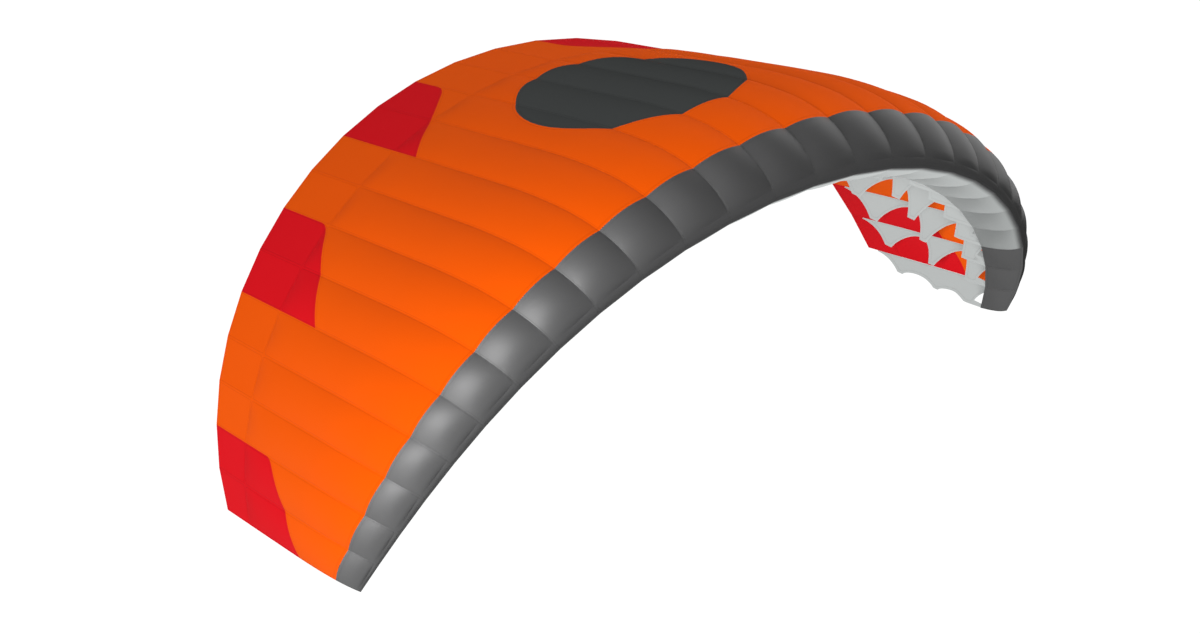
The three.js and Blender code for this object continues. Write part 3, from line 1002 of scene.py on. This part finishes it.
def ribSkinEdge(rib):  # the sewn edge in the rib's plane, in chord shares: top and under sides
    chord, depth = ribs["chord"][rib], ribs["depth"][rib]
    away = np.stack([heightSlope * depth, -chordSlope], -1)
    away /= np.linalg.norm(away, axis=1, keepdims=True)
    edge = np.stack([chordTable * chord, heightTable * chord * depth], -1) - away * ribCut["inset"]
    edge /= (chord, chord * depth)
    nose = np.argmin(edge[:, 0])
    return edge[nose::-1], edge[nose:]


def ribFreeEdge(rib, under, tailTop):  # from the rear hem of the nose back to the tail
    atTip = rib in (0, wing["cells"])
    pieces = [under[-1:]]
    for k in (1, 0):
        arch, foot, start = ribArches[k], ribFeet[k], ribFeet[k + 1]
        crown = (arch["chord"], arch["tipCrown" if atTip else "innerCrown"])
        first = (start["back"], start["height"])
        last = (foot["front"], foot["height"])
        bend = (crown[0] - (crown[0] - first[0]) * arch["ease"], crown[1])
        over = (crown[0] + (last[0] - crown[0]) * ribCut["backRound"], crown[1])
        down = (last[0], last[1] + (crown[1] - last[1]) * ribCut["backRound"])
        pieces += [[(start["front"], start["height"])], curveThrough(first, bend, crown)]
        pieces += [curveThrough(crown, over, down, last)]
    rear = (ribFeet[0]["back"], ribFeet[0]["height"])
    tailFoot = tailTop - ribCut["tailDepth"] / ribs["depth"][rib]
    end = (ribCut["tailChord"], tailFoot)
    pieces += [curveThrough(rear, ((rear[0] + end[0]) / 2, tailFoot), end)]
    return np.concatenate(pieces)


def ribColumns(noseChord, hemChord):  # chord share of each column, closer together at corners
    ventFront, ventBack = (ribCut["ventChord"] + side * ribCut["ventHalf"] for side in (-1, 1))
    footSteps, archSteps = ribCut["footSteps"], ribCut["archSteps"]
    corners = [(noseChord, ribCut["noseSteps"]), (ventFront, ribCut["ventSteps"]), (ventBack, footSteps)]
    for k in (2, 1, 0):
        corners += [(ribFeet[k]["front"], footSteps), (ribFeet[k]["back"], archSteps)]
        if k:
            corners += [(ribArches[k - 1]["chord"], archSteps)]
    chords = []
    nextChords = [chord for chord, _ in corners[1:]] + [ribCut["tailChord"]]
    for (chord, steps), nextChord in zip(corners, nextChords):
        k = np.arange(steps) / steps
        chords.append(chord + (nextChord - chord) * (1 - np.cos(np.pi * k)) / 2)
    chords = np.concatenate([*chords, [ribCut["tailChord"]]])
    chords[np.argmin(np.abs(chords - hemChord))] = hemChord
    return chords


def nearest(points, outline):  # distance of each point to the corners of an outline
    return np.linalg.norm(points[:, None] - outline[None], axis=2).min(1)


def denser(outline):  # more points along an outline, so that distances to it are true
    lengths = np.linalg.norm(np.diff(outline, axis=0), axis=1)
    steps = np.maximum(np.ceil(lengths / ribCut["outlineStep"]).astype(int), 1)
    parts = [a + (b - a) * np.arange(n)[:, None] / n for a, b, n in zip(outline[:-1], outline[1:], steps)]
    return np.concatenate([*parts, outline[-1:]])


def makeRib(rib):
    chordLength, depth = ribs["chord"][rib], ribs["depth"][rib]
    top, under = ribSkinEdge(rib)
    freeEdge = ribFreeEdge(rib, under, np.interp(ribCut["tailChord"], *top.T))
    lowEdge = np.concatenate([under, freeEdge[1:]])
    chordOfColumn = ribColumns(top[0, 0], under[-1, 0])
    counts = (ribCut["sillRows"], ribCut["ventRows"], ribCut["topRows"])
    sheet, column, row = addGrid(f"ribCloth_{rib:02d}", len(chordOfColumn) - 1, sum(counts))

    low, high = np.interp(chordOfColumn, *lowEdge.T), np.interp(chordOfColumn, *top.T)
    offVent = (chordOfColumn - ribCut["ventChord"]) / ribCut["ventHalf"]
    ventAt = np.clip(chordOfColumn, *(ribCut["ventChord"] + side * ribCut["ventHalf"] for side in (-1, 1)))
    lowThere, highThere = np.interp(ventAt, *lowEdge.T), np.interp(ventAt, *top.T)
    sillShare = (ribCut["ventSill"] - lowThere) / (highThere - lowThere)
    sill = low + (high - low) * sillShare
    head = sill + ribCut["ventHeight"] * np.sqrt(np.clip(1 - offVent ** 2, 0, 1))
    lines = np.stack([low, sill, head, high])
    firstRows = np.concatenate([[0], np.cumsum(counts)])
    part = np.clip(np.searchsorted(firstRows, row, side="right") - 1, 0, len(counts) - 1)
    share = (row - firstRows[part]) / np.array(counts)[part]
    height = lines[part, column] * (1 - share) + lines[part + 1, column] * share

    scale = np.array([chordLength, chordLength * depth])
    flat = np.stack([chordOfColumn[column], height], -1) * scale
    inVent = np.abs(offVent) < 1
    vent = np.concatenate([np.stack([chordOfColumn, line], -1)[inVent] for line in (sill, head)]) * scale
    toEdge = np.minimum(nearest(flat, denser(freeEdge * scale)), nearest(flat, denser(vent)))
    toSkin = nearest(flat, denser(top * scale)[::ribCut["skinStride"]])
    place = ribs["nose"][rib] - hemMiddle
    points = place + ribs["back"][rib] * flat[:, :1] + ribs["out"][rib] * flat[:, 1:]
    shapeGrid(sheet, points, flat, toSkin, toEdge)

    rowPart = faceMeans(sheet, part + share)  # 1 at the vent's sill, 2 at its head
    inside = np.abs(faceMeans(sheet, offVent[column])) < 1
    selectOnly(sheet, "faces", inside & (rowPart > 1) & (rowPart < 2))
    bpy.ops.mesh.delete(type="FACE")
    bpy.ops.object.mode_set(mode="OBJECT")
    mergeDoubles(sheet)
    side = {0: 1.0, wing["cells"]: -1.0}.get(rib, 0.0)  # tip ribs lie inside the tip
    finishSheet(sheet, f"rib_{rib:02d}", "lightGrey", "rib", side)


for ribNumber in range(wing["cells"] + 1):
    makeRib(ribNumber)
print("ribs cut:", wing["cells"] + 1)
